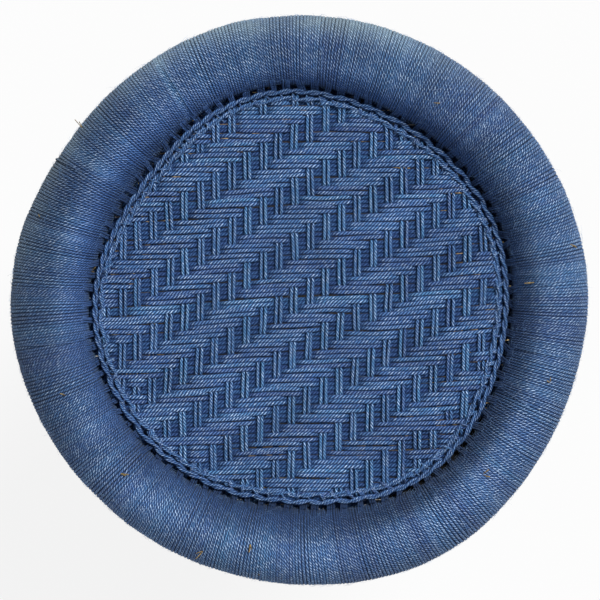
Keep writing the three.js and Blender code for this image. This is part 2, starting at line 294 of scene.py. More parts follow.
# Spans, each a factor and a start, that turn a mask or a tint into a share of the light
UPPER_HALF = (0.5, 0.5)
TINT_SPAN = (0.5, 0.75)
GRAIN_SPAN = (0.35, 0.68)
BLOTCH_SPAN = (0.75, 0.625)

# Radii between which the rim changes its tone, its pale side and its painted light and shade, and heights
# between which the seat's shade begins
RIM_ZONES = {
    "nook": (138 * MM, 153 * MM),
    "shelter": (145 * MM, 169 * MM),
    "slope_foot": (149 * MM, 157 * MM),
    "crown": (155 * MM, 175 * MM),
    "slope_top": (161 * MM, 173 * MM),
    "bleached": (175 * MM, 200 * MM),
    "edge": (183 * MM, 193 * MM),
}
SEAT_SHADE = (280 * MM, 375 * MM)
SEAT_SHADE_DEPTH = 0.9

# Level ways from the stool's axis, named for the side of the rim that they point to
BLEACHED_WAY = (-0.42, 0.91, 0.0)
LIGHT_WAY = (-0.087, 0.996, 0.0)
LEFT_WAY = (-0.996, 0.087, 0.0)
SHADED_WAY = (0.94, -0.34, 0.0)


def cord_lay(name):
    """The lay of a twisted cord: how far a place stands out of the groove between plies, and its strands."""
    strands = 7.0
    n = Effect(name, Plies=2.0, Turning=1.0)
    uv = n.add("ShaderNodeUVMap", uv_map="cord").outputs[0]
    twists, around, _ = n.add("ShaderNodeSeparateXYZ", {0: uv}).outputs
    turn = n.plus(around, n.times(twists, n.given["Turning"]))
    wave = n.math("COSINE", n.times(turn, n.given["Plies"], TAU))
    fine = n.add("ShaderNodeCombineXYZ", {0: n.times(turn, strands), 1: twists}).outputs[0]
    return n.give(Crown=n.scaled(wave, *UPPER_HALF), Strand=n.noise(fine, *STRAND_NOISE))


def sun_fade(name):
    """What the rim shows: its pale side, partly sun-bleaching and partly a painted sheen; its sheltered
    inner slope with a painted shade; and its tone, with dust and painted light and shade.
    """
    far_dust, left_dust = 0.29, 0.34
    edge_dim, slope_dim = 0.13, 0.32
    slope_span, inside_span = (0.34, -0.21), (0.75, -0.48)
    n = Effect(name, Direction=(0.0, 1.0, 0.0))
    place = n.add("ShaderNodeTexCoord").outputs["Object"]
    radius, way = n.round_axis(place)

    def toward(direction):
        return n.vector("DOT_PRODUCT", way, direction)["Value"]

    def beyond(zone):
        return n.ramp(radius, *RIM_ZONES[zone])

    # The pale side, toward Direction and outside the crown, is partly sun-bleaching and partly a painted
    # sheen
    patch = n.ramp(n.noise(place, *FADE_NOISE), 0.3, 0.7)
    side = n.ramp(toward(n.given["Direction"]), 0.2, 0.9)
    bleached = n.times(side, beyond("bleached"), n.scaled(patch, *UPPER_HALF))
    lit = n.scaled(toward(LIGHT_WAY), *UPPER_HALF)
    shaded = n.ramp(toward(SHADED_WAY), 0.2, 0.8)
    # Dust dims the crown on the lit side, and a painted shade dims it on the left side
    dust = n.plus(n.times(lit, far_dust), n.times(n.ramp(toward(LEFT_WAY), 0.6, 1.0), left_dust))
    dusty = n.minus(1.0, n.times(dust, beyond("crown")))
    slope = n.minus(1.0, beyond("slope_top"))
    # Painted shade on the shaded side's outer edge and inner slope, and painted light at the slope's foot,
    # brighter on the lit side
    dim = n.times(shaded, n.plus(n.times(beyond("edge"), edge_dim), n.times(slope, slope_dim)))
    glow = n.times(slope, beyond("slope_foot"), n.scaled(lit, *slope_span))
    outside = n.times(dusty, n.minus(n.plus(1.0, glow), dim))
    # Painted shade on the sheltered inner slope, lighter on the lit side, and deepest next to the seat
    shelter = n.minus(1.0, beyond("shelter"))
    inside = n.plus(1.0, n.times(shelter, n.scaled(lit, *inside_span)))
    nook = n.scaled(beyond("nook"), *UPPER_HALF)
    return n.give(Mask=bleached, Shelter=shelter, Tone=n.times(outside, inside, nook))


def inside_shade(name):
    """The light that is left where a surface faces the stool's own axis or lies close below the seat."""
    n = Effect(name, Depth=0.8)
    place = n.add("ShaderNodeTexCoord").outputs
    _, way = n.round_axis(place["Object"])
    outward = n.vector("DOT_PRODUCT", way, place["Normal"])["Value"]
    height = n.add("ShaderNodeSeparateXYZ", {0: place["Object"]}).outputs[2]
    side = n.weakened(n.ramp(outward, -0.7, 0.35), n.given["Depth"])
    below = n.minus(1.0, n.times(n.ramp(height, *SEAT_SHADE), SEAT_SHADE_DEPTH))
    return n.give(Light=n.times(side, below))


def shade_of(colour, shares):
    """The colour made darker or paler: shares is one number, or one each for red, green and blue."""
    return tuple(min(1.0, part * share) for part, share in zip(colour, np.broadcast_to(shares, 3)))


def cord_material(name, base, deep, pale, plies=2.0, turning=0.0, bump=0.5, ply_depth=1.0,
                  groove_from=-0.1, groove_depth=0.7, faded=None, inside_depth=0.0):
    """Twisted fibre cord. turning is 0 where the plies are modelled and 1 where the surface draws them."""
    n = Finish(name)
    lay = n.effect("Cord lay", cord_lay, Plies=plies, Turning=turning)
    tint = n.attribute("tint")
    fibre = n.noise(n.place, *FIBRE_NOISE)
    # Painted shade: the grooves between plies and the strings' lower sides take the deep colour
    rise = n.ramp(n.attribute("rise"), groove_from, 0.95)
    crown = n.weakened(n.ramp(lay["Crown"], 0.1, 0.95), ply_depth)
    crown = n.times(crown, n.weakened(rise, groove_depth))
    dye = n.mix(tint, shade_of(base, VIOLET_SHARES), shade_of(base, GREENISH_SHARES))
    body = n.mix(crown, deep, dye)
    # Pale fibres on the upper ply crowns: partly wear and partly a painted highlight
    patch = n.ramp(n.noise(n.place, *WORN_NOISE), 0.36, 0.62)
    worn = n.times(n.ramp(lay["Crown"], 0.45, 0.9), n.ramp(fibre, 0.36, 0.56), n.ramp(rise, 0.5, 1.0),
                   patch, n.ramp(lay["Strand"], 0.3, 0.55))
    body = n.mix(worn, body, pale)
    grain = n.plus(n.ramp(fibre, 0.3, 0.7), n.ramp(lay["Strand"], 0.3, 0.7))
    blotch = n.noise(n.place, *CORD_BLOTCH_NOISE)
    light = n.times(n.scaled(blotch, *BLOTCH_SPAN), n.scaled(tint, *TINT_SPAN), n.scaled(grain, *GRAIN_SPAN))
    if inside_depth:
        light = n.times(light, n.inside_light(inside_depth))
    if faded:
        sun = n.effect("Sun fade", sun_fade, Direction=BLEACHED_WAY)
        # The rim's pale side: partly sun-bleaching, partly a painted sheen
        bleached = n.mix(crown, shade_of(faded, 0.3), faded)
        body = n.mix(n.times(sun["Mask"], 0.8), body, bleached)
        # The sheltered inner slope takes a darker, bluer colour: a painted shade
        hidden = n.mix(crown, shade_of(deep, 0.3), shade_of(base, SHELTERED_SHARES))
        body = n.mix(n.times(sun["Shelter"], 0.85), body, hidden)
        # The rim's tone: dust, and painted light and shade
        light = n.times(light, sun["Tone"])
    sheen = {"Sheen Weight": 0.12, "Sheen Tint": pale, "Sheen Roughness": 0.5, "Specular IOR Level": 0.15}
    for label, value in sheen.items():
        n.put(n.shader.inputs[label], value)
    height = n.plus(n.times(lay["Crown"], turning), n.times(fibre, 0.45))
    return n.surface(n.darkened(body, light), n.scaled(fibre, 0.2, 0.72), height, bump, 0.4 * MM)


def cane_material(name, base):
    """Dry cane with fine lengthwise grain, mottling, specks and dark rings at its nodes."""
    n = Finish(name)
    uv = n.add("ShaderNodeUVMap", uv_map="UVMap").outputs[0]
    grain = n.noise(n.stretched(uv, CANE_STRETCH), *CANE_GRAIN_NOISE)
    blotch = n.ramp(n.noise(n.place, *CANE_BLOTCH_NOISE), 0.45, 0.75)
    speck = n.ramp(n.noise(n.place, *CANE_SPECK_NOISE), 0.62, 0.72)
    ring = n.ramp(n.attribute("ring"), 0.3, 0.9)
    body = n.mix(n.ramp(grain, 0.3, 0.7), shade_of(base, 0.45), base)
    for mask, strength, share in ((blotch, 0.7, 1.35), (speck, 0.5, 0.25), (ring, 0.75, 0.22)):
        body = n.mix(n.times(mask, strength), body, shade_of(base, share))
    light = n.times(n.scaled(n.attribute("tint"), *TINT_SPAN), n.inside_light(0.72))
    return n.surface(n.darkened(body, light), n.scaled(grain, 0.25, 0.38), grain, 0.35, 0.3 * MM)


def straw_material(name, base, inside_depth=0.0):
    """Bundled straw: level streaks over a dark ground."""
    n = Finish(name)
    streak = n.noise(n.stretched(n.place, STRAW_STRETCH), *STRAW_STREAK_NOISE)
    blotch = n.ramp(n.noise(n.place, *STRAW_BLOTCH_NOISE), 0.4, 0.8)
    body = n.mix(n.ramp(streak, 0.35, 0.65), shade_of(base, 0.2), base)
    body = n.mix(blotch, body, shade_of(base, 0.55))
    if inside_depth:
        body = n.darkened(body, n.inside_light(inside_depth))
    return n.surface(body, 0.9, streak, 0.7, 0.8 * MM)


def rubber_material(name, base):
    """Worn rubber, dusty in patches."""
    n = Finish(name)
    dust = n.ramp(n.noise(n.place, *RUBBER_DUST_NOISE), 0.45, 0.75)
    body = n.mix(n.times(dust, 0.55), base, DUST_COLOUR)
    grain = n.noise(n.place, *RUBBER_GRAIN_NOISE)
    return n.surface(body, n.scaled(dust, 0.3, 0.55), grain, 0.3, 0.2 * MM)


def material_once(name, make, *values, **settings):
    return bpy.data.materials.get(name) or make(name, *values, **settings)


def rim_cord_material():
    c = colours()
    return material_once(
        "Blue rim cord", cord_material, tuple(c.rim_blue), tuple(c.blue_deep), shade_of(c.blue_pale, 1.25),
        plies=4.0, turning=1.0, bump=0.4, ply_depth=0.85, groove_from=0.45, groove_depth=0.82,
        faded=tuple(c.faded))


def seat_string_material():
    c = colours()
    return material_once(
        "Blue seat string", cord_material, tuple(c.blue), tuple(c.blue_deep), tuple(c.blue_pale),
        plies=4.0, ply_depth=0.95, groove_from=0.2, groove_depth=0.72)


def rope_material(name, inside_depth, plies):
    rope = tuple(colours().rope)
    return material_once(name, cord_material, rope, shade_of(rope, 0.18), shade_of(rope, 1.6),
                         plies=plies, inside_depth=inside_depth)


# Cords: swept sections, written straight into a mesh

TWO_PLY = tuple((angle, 0.82 if angle % 180 else 1.0) for angle in range(0, 360, 60))
THREE_PLY = tuple((angle, 0.8 if angle % 120 else 1.0) for angle in range(0, 360, 60))
FOUR_PLY = tuple((angle, 0.84 if angle % 90 else 1.0) for angle in range(0, 360, 45))
PLAIN = tuple((angle, 1.0) for angle in range(0, 360, 60))
HAIR = tuple((angle, 1.0) for angle in range(0, 360, 120))


class CordMesh:
    """Gathers swept cords into one mesh. A section is a ring of (angle in degrees, radius share) corners."""

    def __init__(self, section):
        self.angles = np.radians([angle for angle, _ in section])
        self.shares = np.array([share for _, share in section])
        self.points, self.quads, self.caps = [], [], []
        self.uvs, self.cap_uvs, self.tints, self.rises = [], [], [], []
        self.count = 0

    def sweep(self, path, out, across, thick, lay, phase=0.0, twisted=True, tint=0.5, closed=False,
              slip=0.0, sunk=0.0):
        """Sweeps the section along path. across and thick are half sizes, and lay is the length of a twist.
        out points away from what the cord lies on, slip shifts the drawn plies, and sinking lowers each
        corner's rise, which the material shows as a painted shade."""
        n, k = len(path), len(self.angles)
        if closed:
            along = np.roll(path, -1, 0) - np.roll(path, 1, 0)
        else:
            along = np.gradient(path, axis=0)
        along /= np.linalg.norm(along, axis=1)[:, None]
        side = np.cross(out, along)
        side /= np.linalg.norm(side, axis=1)[:, None]
        out = np.cross(along, side)
        steps = np.linalg.norm(np.diff(path, axis=0), axis=1)
        length = np.concatenate([[0], np.cumsum(steps)])
        total = length[-1] + (np.linalg.norm(path[0] - path[-1]) if closed else 0)
        if closed:
            lay = total / max(1, round(total / lay))
        turn = -TAU * length / lay + phase if twisted else np.full(n, phase)
        angle = turn[:, None] + self.angles[None, :]
        reach_side = (np.broadcast_to(across, n)[:, None] * self.shares * np.cos(angle))[..., None]
        reach_out = (np.broadcast_to(thick, n)[:, None] * self.shares * np.sin(angle))[..., None]
        points = path[:, None, :] + side[:, None, :] * reach_side + out[:, None, :] * reach_out
        self.points.append(points.reshape(-1, 3))
        self.join_rings(n, k, closed, np.append(length, total) / lay + slip)
        self.tints.append(np.full(n * k, tint) if np.isscalar(tint) else np.repeat(tint, k))
        # A corner's rise is its height in the section; the material paints the low ones with shade
        self.rises.append((np.sin(angle) * self.shares - np.broadcast_to(sunk, n)[:, None]).ravel())
        self.count += n * k

    def join_rings(self, n, k, closed, turns):
        """Faces and map of n rings of k corners. turns gives each ring's place on the map."""
        rows = n if closed else n - 1
        i = np.arange(rows)[:, None]
        j = np.arange(k)[None, :]
        nxt_i, nxt_j = (i + 1) % n, (j + 1) % k
        quads = np.stack([i * k + j, i * k + nxt_j, nxt_i * k + nxt_j, nxt_i * k + j], -1).reshape(-1, 4)
        u0 = np.broadcast_to(turns[:rows, None], (rows, k))
        u1 = np.broadcast_to(turns[1:rows + 1, None], (rows, k))
        v0 = np.broadcast_to(j / k, (rows, k))
        v1 = v0 + 1 / k
        self.quads.append(quads + self.count)
        self.uvs.append(np.stack([u0, v0, u0, v1, u1, v1, u1, v0], -1).ravel())
        if not closed:
            self.caps.append(self.count + np.arange(k)[::-1])
            self.caps.append(self.count + (n - 1) * k + np.arange(k))
            for u in (turns[0], turns[n - 1]):
                self.cap_uvs.append(np.tile([u, 0.0], k))

    def make(self, name):
        points = np.concatenate(self.points)
        quads = np.concatenate(self.quads)
        caps = np.array(self.caps, int).reshape(-1, len(self.angles))
        loops = np.concatenate([quads.ravel(), caps.ravel()])
        totals = np.concatenate([np.full(len(quads), 4), np.full(len(caps), caps.shape[1])])
        starts = np.concatenate([[0], np.cumsum(totals)[:-1]])
        mesh = bpy.data.meshes.new(name)
        mesh.vertices.add(len(points))
        mesh.vertices.foreach_set("co", points.ravel().astype(np.float32))
        mesh.loops.add(len(loops))
        mesh.loops.foreach_set("vertex_index", loops.astype(np.int32))
        mesh.polygons.add(len(totals))
        mesh.polygons.foreach_set("loop_start", starts.astype(np.int32))
        mesh.polygons.foreach_set("loop_total", totals.astype(np.int32))
        mesh.polygons.foreach_set("use_smooth", np.ones(len(totals), bool))
        uv = mesh.uv_layers.new(name="cord")
        uv.data.foreach_set("uv", np.concatenate(self.uvs + self.cap_uvs).astype(np.float32))
        for label, values in (("tint", self.tints), ("rise", self.rises)):
            attribute = mesh.attributes.new(label, "FLOAT", "POINT")
            attribute.data.foreach_set("value", np.concatenate(values).astype(np.float32))
        mesh.update(calc_edges=True)
        mesh.validate()
        return new_object(name, mesh)


def new_object(name, mesh):
    piece = bpy.data.objects.new(name, mesh)
    bpy.context.scene.collection.objects.link(piece)
    return piece


def new_primitive(kind, **settings):
    """Adds a primitive with nothing else selected."""
    bpy.ops.object.select_all(action="DESELECT")
    getattr(bpy.ops.mesh, f"primitive_{kind}_add")(**settings)
    return bpy.context.object


def finish_piece(piece, material, slot, *nodes):
    piece.data.materials.clear()
    piece.data.materials.append(material)
    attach(piece, "root")
    if nodes:
        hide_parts(*nodes)


def node_points(name):
    """The corners of a CAD node's mesh."""
    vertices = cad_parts[name].data.vertices
    points = np.zeros(len(vertices) * 3)
    vertices.foreach_get("co", points)
    return points.reshape(-1, 3)


def smooth_noise(rng, count, reach):
    """Random values between about -1 and 1 that change slowly: reach is how many values one lump covers."""
    raw = rng.standard_normal(count)
    ways = np.fft.rfftfreq(count)
    spectrum = np.fft.rfft(raw) * np.exp(-(ways * reach * 2.2) ** 2)
    smooth = np.fft.irfft(spectrum, count)
    return smooth / max(1e-9, np.abs(smooth).max())


def uneven_tints(rng, count, reach, spread):
    """Tints of the turns, from 0 to 1, which drift slowly and differ a little from turn to turn."""
    return np.clip(0.5 + smooth_noise(rng, count, reach) * 0.3 + rng.normal(0, spread, count), 0, 1)


def ease(share):
    share = np.clip(share, 0, 1)
    return share * share * (3 - 2 * share)


def random_way(rng, out):
    """A random way along the surface that out points away from."""
    way = rng.normal(0, 1, 3)
    way -= out * way.dot(out)
    return way / np.linalg.norm(way)


def ring_points(radius, turn, z):
    """Places on rings round the stool's axis, or level and tilted ways where the radius is at most 1."""
    return np.stack([radius * np.cos(turn), radius * np.sin(turn), z], -1)


def winding_course(part, pieces, turns, steps, start):
    """One piece of a winding: its progress in turns, and its angle round the section, counted from start."""
    first, last = part * turns // pieces, (part + 1) * turns // pieces
    step = np.arange((last - first) * steps + 1)
    return first + step / steps, start - TAU * (step % steps) / steps


# The rim's hand-made shape, shared by all that lies on it

def round_table(values, turn):
    """A smooth closed curve through values that are evenly spaced round the stool."""
    waves = np.fft.rfft(values) / len(values)
    curve = np.full_like(turn, waves[0].real)
    for k in range(1, len(waves)):
        share = 1 if 2 * k == len(values) else 2
        curve = curve + share * (waves[k] * np.exp(1j * k * turn)).real
    return curve


def seat_edge(turn):
    """Radius of the seat's margin, measured from the seat's own middle."""
    return SEAT_RADIUS + round_table(SEAT_LUMPS, turn) * MM


def rim_section(turn):
    """Middle radius and half width of the rim's section at an angle round the stool."""
    outer = RIM_RADIUS + round_table(OUTLINE_LUMPS, turn) * MM
    shift = SEAT_MIDDLE[0] * np.cos(turn) + SEAT_MIDDLE[1] * np.sin(turn)
    inner = seat_edge(turn) + shift + RIM_CLEARANCE
    return (outer + inner) / 2, (outer - inner) / 2


def rim_point(turn, around, lift=0.0):
    """A place on the rim. turn goes round the stool, and around round the section, from outside upwards."""
    middle, half = rim_section(turn)
    height = sizes().rim_half_height
    z = RIM_HIGH.z - height + (height + lift) * np.sin(around)
    return ring_points(middle + (half + lift) * np.cos(around), turn, z)


def rim_out(turn, around):
    return ring_points(np.cos(around), turn, np.sin(around))


def rim_wall(path):
    """Height of the rim's upper face over or under each place, and which places lie within its section."""
    middle, half = rim_section(np.arctan2(path[:, 1], path[:, 0]))
    across = (np.hypot(path[:, 0], path[:, 1]) - middle) / half
    height = sizes().rim_half_height
    rise = height * np.sqrt(1 - np.clip(across, -1, 1) ** 2)
    return RIM_HIGH.z - height + rise, across > -1


class STOOL_OT_rim_winding(bpy.types.Operator):
    """Winds the cord round the rim, turn by turn"""

    bl_idname = "stool.rim_winding"
    bl_label = "Rim winding"

    seed = 11
    pieces = 4
    steps = 54
    # How far turns stray: out of the rim, as lengths, and round the stool, as shares of their pitch
    lump = 0.55 * MM
    level = 0.16 * MM
    drift_share = 0.8
    jitter_share = 0.12
    lean_share = 0.8
    # The pulled cord is flat, and wider than its turns are apart. Its plies slip from turn to turn
    flat_share = 0.8
    width_share = 0.6
    half_widths = (0.7 * MM, 1.5 * MM)
    most_slip = 6

    def execute(self, context):
        rng = np.random.default_rng(self.seed)
        turns = sizes().rim_turns
        thick = sizes().rim_cord / 2 * self.flat_share
        pitch = TAU / turns
        lump = smooth_noise(rng, turns, reach=9) * self.lump
        drift = smooth_noise(rng, turns, reach=5) * self.drift_share * pitch
        drift = drift + rng.uniform(-self.jitter_share, self.jitter_share, turns) * pitch
        lean = smooth_noise(rng, turns, reach=9) * self.lean_share * pitch
        level = rng.uniform(-self.level, self.level, turns)
        tints = uneven_tints(rng, turns, reach=4, spread=0.13)
        slips = rng.uniform(0, self.most_slip, turns)
        for part in range(self.pieces):
            progress, around = winding_course(part, self.pieces, turns, self.steps, -math.pi / 2)

            def blended(values):
                return np.interp(progress, np.arange(turns + 1), np.append(values, values[0]))

            turn = progress * pitch + blended(drift) + blended(lean) * np.sin(around)
            path = rim_point(turn, around, blended(lump) + blended(level) - thick)
            reach = np.hypot(path[:, 0], path[:, 1])
            across = np.clip(reach * pitch * self.width_share, *self.half_widths)
            cord = CordMesh(PLAIN)
            cord.sweep(path, rim_out(turn, around), across, thick, RIM_LAY, twisted=False,
                       tint=blended(tints), slip=np.append(blended(slips), slips[0]))
            finish_piece(cord.make(f"rim_cord_{part + 1}"), rim_cord_material(), "blue_cord", "rim_winding")
        return {"FINISHED"}


class STOOL_OT_rim_strays(bpy.types.Operator):
    """Lays the loose turns, the fuzz and the ends of straw on the rim"""

    bl_idname = "stool.rim_strays"
    bl_label = "Loose turns, fuzz and straw"

    seed = 23
    strays = 16
    stray_steps = 44
    stray_slant = 0.02
    stray_arounds = (-0.5, math.pi + 0.4)
    least_stray = 0.9
    # A stray's half sizes and rise, as shares of the cord's radius. It sinks in over a ninth of its length
    stray_shares = (0.7, 0.6)
    stray_rise = 0.9
    sinks = 9
    stray_tints = (0.1, 0.9)
    # Hairs: how many, where round the rim's section, how long and how steep
    short_hairs = (5700, (-0.35, math.pi + 0.5), (2.0 * MM, 6.5 * MM), (0.12, 0.5))
    long_hairs = (420, (0.1, math.pi + 0.1), (7 * MM, 15 * MM), (0.05, 0.2))
    seat_hairs = 900
    seat_hair_lengths = (3 * MM, 9 * MM)
    seat_hair_rises = (0.1, 0.4)
    seat_hair_share = 0.95
    seat_hair_lift = 2.2 * MM
    hair_root = 0.2 * MM
    hair_widths = (0.035 * MM, 0.07 * MM)
    hair_taper_shares = (1.0, 0.95, 0.85, 0.65, 0.25)
    hair_bend = 0.3
    # Straws: two ends at each place
    straws_each = 2
    straw_steps = 5
    straw_slope_shares = (0.9, 0.42)
    straw_spread = 0.4
    straw_root = 1.2 * MM
    straw_lengths = (4.0 * MM, 8.0 * MM)
    straw_half_width, straw_half_thickness = 0.38 * MM, 0.25 * MM
    straw_pixels = ((39, 213), (95, 272), (122, 470), (252, 539), (255, 570), (567, 243), (532, 281),
                    (430, 105), (83, 128), (205, 548), (480, 470), (60, 390), (548, 380))

    def execute(self, context):
        rng = np.random.default_rng(self.seed)
        self.loose_turns(rng)
        self.fuzz(rng)
        self.straws(rng)
        return {"FINISHED"}

    def loose_turns(self, rng):
        """Turns that lie over the others at a slant and sink in at both ends."""
        cord = CordMesh(PLAIN)
        radius = sizes().rim_cord / 2
        share = np.linspace(0, 1, self.stray_steps)
        across, thick = (radius * part for part in self.stray_shares)
        lift = radius * (self.stray_rise * np.clip(np.minimum(share, 1 - share) * self.sinks, 0, 1) - 1.0)
        for _ in range(self.strays):
            start = rng.uniform(0, TAU)
            slant = rng.normal(0, self.stray_slant)
            low, high = sorted(rng.uniform(*self.stray_arounds, 2))
            high = max(high, low + self.least_stray)
            around = low + (high - low) * share
            turn = start + slant * (share - 0.5) * (high - low)
            cord.sweep(rim_point(turn, around, lift), rim_out(turn, around), across, thick, RIM_LAY,
                       twisted=False, tint=rng.uniform(*self.stray_tints))
        finish_piece(cord.make("rim_loose_turns"), rim_cord_material(), "blue_cord")

    def fuzz(self, rng):
        """Fibres that stand out of the cord, each a thin bent spike: short, long and on the seat."""
        hair = CordMesh(HAIR)
        for count, arounds, lengths, rises in (self.short_hairs, self.long_hairs):
            for _ in range(count):
                turn, around = rng.uniform(0, TAU, 1), rng.uniform(*arounds, 1)
                root, out = rim_point(turn, around, -self.hair_root)[0], rim_out(turn, around)[0]
                self.hair(hair, rng, root, out, rng.uniform(*lengths), rng.uniform(*rises))
        for _ in range(self.seat_hairs):
            turn, reach = rng.uniform(0, TAU), SEAT_RADIUS * math.sqrt(rng.uniform(0, self.seat_hair_share))
            root = ring_points(reach, turn, WEAVE_HEIGHT + self.seat_hair_lift)
            length, rise = rng.uniform(*self.seat_hair_lengths), rng.uniform(*self.seat_hair_rises)
            self.hair(hair, rng, root, UP, length, rise)
        c = colours()
        material = material_once("Blue fuzz", cord_material, tuple(c.blue_pale), tuple(c.blue),
                                 tuple(c.blue_pale), bump=0.0)
        finish_piece(hair.make("rim_fuzz"), material, "blue_cord")

    def hair(self, hair, rng, root, out, length, rise):
        way = random_way(rng, out)
        share = np.linspace(0, 1, len(self.hair_taper_shares))[:, None]
        bend = np.cross(out, way) * rng.normal(0, self.hair_bend)
        lift = rise * share * (1.3 - 0.9 * share)
        path = root + length * (share * way + lift * out + share ** 2 * bend)
        width = rng.uniform(*self.hair_widths) * np.array(self.hair_taper_shares)
        hair.sweep(path, np.tile(out, (len(path), 1)), width, width, 1.0, twisted=False,
                   tint=rng.uniform(0.5, 1.0))

    def straws(self, rng):
        """Ends of straw that poke through the winding, at the places the photograph shows."""
        straw = CordMesh(PLAIN)
        along, outwards = self.straw_slope_shares
        share = np.linspace(0, 1, self.straw_steps)[:, None]
        for across, down in self.straw_pixels:
            x = (across - PHOTO_MIDDLE[0]) * PIXEL
            y = (PHOTO_MIDDLE[1] - down) * PIXEL
            turn = np.array([math.atan2(y, x)])
            middle, half = rim_section(turn)
            around = np.arccos(np.clip((math.hypot(x, y) - middle) / half, -0.99, 0.99))
            root = rim_point(turn, around, -self.straw_root)[0]
            out = rim_out(turn, around)[0]
            way = random_way(rng, out)
            for _ in range(self.straws_each):
                length = rng.uniform(*self.straw_lengths)
                way = way + rng.normal(0, self.straw_spread, 3)
                way /= np.linalg.norm(way)
                path = root + length * share * (way * along + out * outwards)
                straw.sweep(path, np.tile(out, (len(path), 1)) + 1e-3, self.straw_half_width,
                            self.straw_half_thickness, 1.0, twisted=False, tint=rng.uniform(0.4, 1.0))
        material = material_once("Straw", straw_material, tuple(colours().straw))
        finish_piece(straw.make("straw_ends"), material, "straw")


def weave_drift(points):
    """The hand-made drift of the weave: rows rise to the right in the middle and arch near the top."""
    rise_share, arch_share, row_wave_share = 0.052, 0.035, 0.006
    lean_share, column_wave_share = 0.012, 0.005
    x, y = points[:, 0] / SEAT_RADIUS, points[:, 1] / SEAT_RADIUS
    rise = rise_share * x * (1 - 0.9 * y ** 2)
    arch = arch_share * x * np.abs(x) * np.clip(y, 0, 1)
    row_wave = row_wave_share * np.sin(5.1 * x + 2.2) * (1 - y ** 2)
    lean = lean_share * y * (1 - x ** 2)
    column_wave = column_wave_share * np.sin(4.3 * y + 1.0)
    moved = points + SEAT_MIDDLE
    moved[:, 0] += SEAT_RADIUS * (lean + column_wave)
    moved[:, 1] += SEAT_RADIUS * (rise - arch + row_wave)
    return moved


